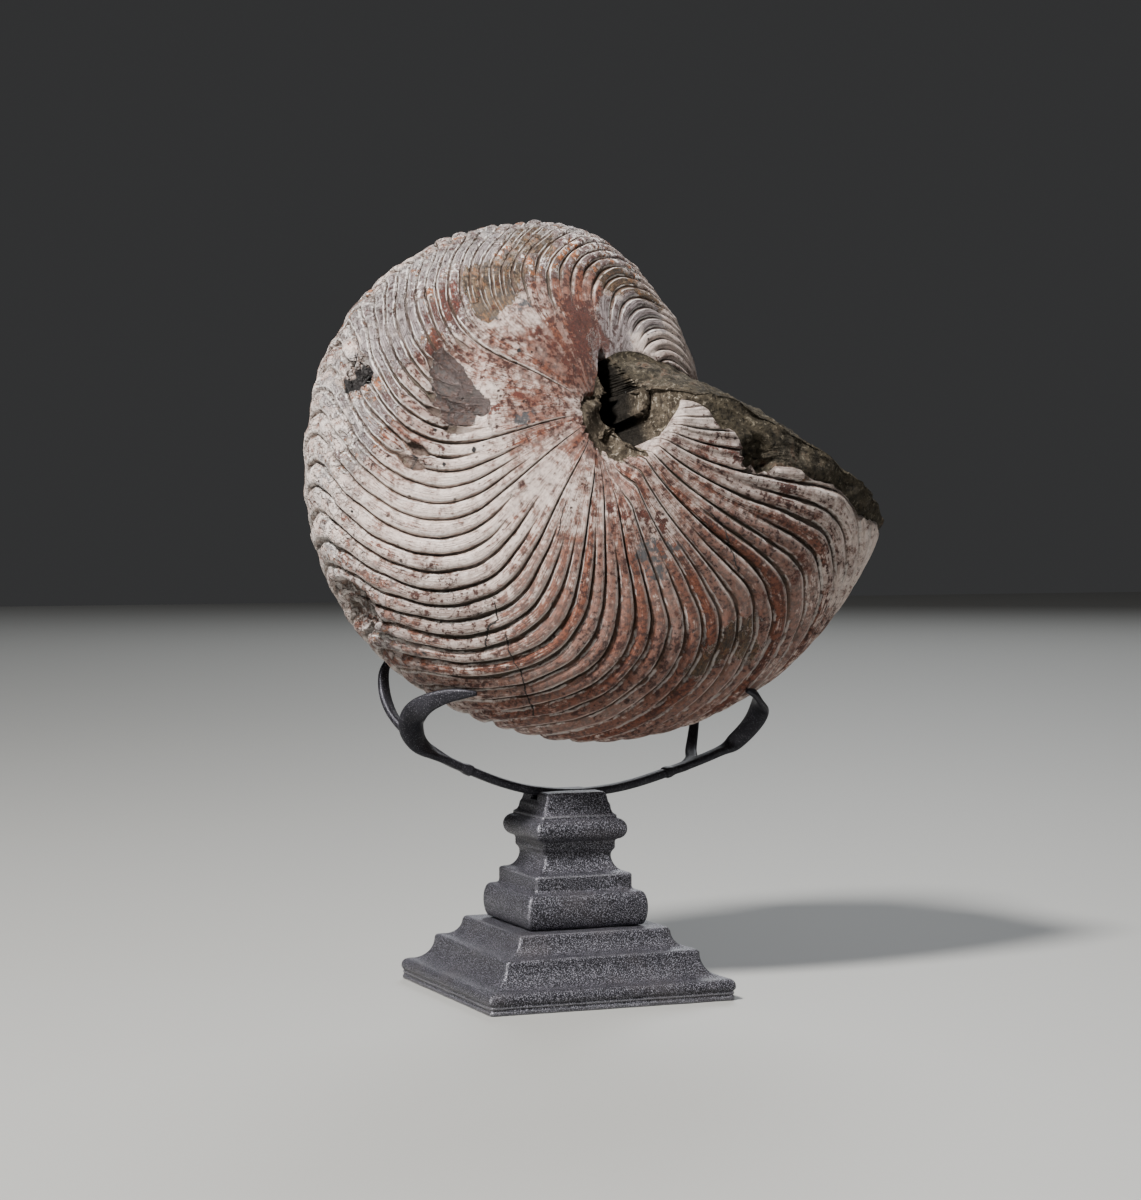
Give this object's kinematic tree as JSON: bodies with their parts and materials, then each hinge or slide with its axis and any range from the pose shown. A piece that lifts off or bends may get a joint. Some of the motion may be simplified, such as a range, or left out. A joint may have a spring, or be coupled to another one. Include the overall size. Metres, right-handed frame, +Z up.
{
  "type": "fossil on a stand",
  "caption": "Ribbed fossil nautilus, its mouth filled with stone, resting in the horned cradle of a stepped square metal display stand.",
  "frame": {"origin": "middle of the plinth's flat underside, on the surface that the stand rests on", "axes": "+Z up; the plinth's sides are parallel to X and Y; the shell's broken mouth faces +X and its coiling axis runs close to Y"},
  "size_m": [0.21, 0.1407, 0.2689],
  "materials": {
    "fossil": "cream to brown mineralised shell, satin, with dull olive-brown rock in the mouth",
    "stand_metal": "dark grey sparkling powder finish, edges a little worn"
  },
  "bodies": {
    "root": {"fossil_nautilus": "fossil", "plinth": "stand_metal", "pedestal": "stand_metal", "cradle_bar": "stand_metal", "left_fork": "stand_metal", "right_fork": "stand_metal"}
  },
  "joints": []
}
